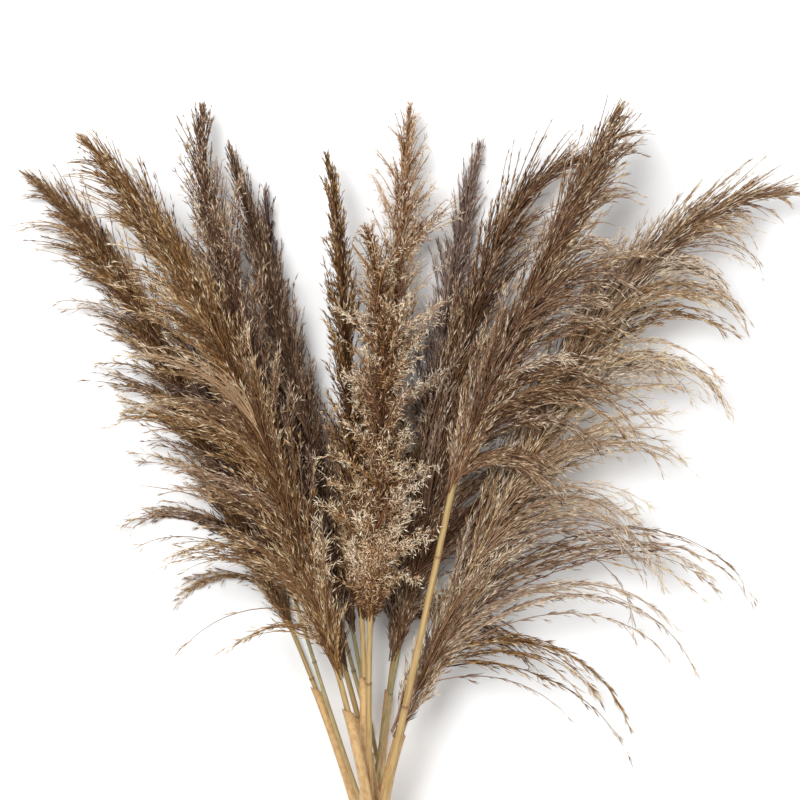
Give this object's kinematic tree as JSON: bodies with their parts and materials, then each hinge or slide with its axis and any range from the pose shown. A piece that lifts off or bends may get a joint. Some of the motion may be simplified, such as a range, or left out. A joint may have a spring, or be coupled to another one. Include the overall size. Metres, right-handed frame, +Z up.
{
  "type": "bundle of dried pampas grass",
  "caption": "Loose bundle of cut, dried pampas grass lying on a flat surface: brown feathery plumes fanned out from straw-coloured canes that cross at a narrow waist.",
  "frame": {"origin": "on the table, under the middle of the bundle's outline seen from above", "axes": "+Y from the cut ends to the plumes, +X to the right seen from above with the plumes away, +Z up"},
  "size_m": [0.8642, 1.0396, 0.138],
  "materials": {
    "culm": "satin dried cane, straw to gold",
    "green_culm": "satin dried cane with some green left",
    "leaf_sheath": "dry papery leaf, matt",
    "brown_plume": "fine dry fibre, matt",
    "dark_plume": "fine dry fibre, matt",
    "grey_plume": "fine dry fibre, matt",
    "pale_plume": "fine dry fibre with cream tufts, matt"
  },
  "bodies": {
    "root": {"culm_far_left": "culm", "plume_far_left": "brown_plume", "sheath_far_left": "leaf_sheath", "culm_left_dark": "green_culm", "plume_left_dark": "dark_plume", "culm_right_dark": "culm", "plume_right_dark": "dark_plume", "sheath_right_dark": "leaf_sheath", "culm_left_short": "green_culm", "plume_left_short": "dark_plume", "culm_left_grey": "green_culm", "plume_left_grey": "grey_plume", "culm_right_arching": "green_culm", "plume_right_arching": "brown_plume", "culm_centre_tall": "culm", "plume_centre_tall": "pale_plume", "sheath_centre_tall": "leaf_sheath", "culm_left_tall": "culm", "plume_left_tall": "brown_plume", "sheath_left_tall": "leaf_sheath", "culm_far_right": "culm", "plume_far_right": "brown_plume", "sheath_far_right": "leaf_sheath", "culm_centre_slim": "culm", "plume_centre_slim": "brown_plume", "sheath_centre_slim": "leaf_sheath", "culm_left_front": "culm", "plume_left_front": "brown_plume", "sheath_left_front": "leaf_sheath", "culm_right_tall": "culm", "plume_right_tall": "brown_plume", "culm_centre_front": "culm", "plume_centre_front": "pale_plume"}
  },
  "joints": []
}
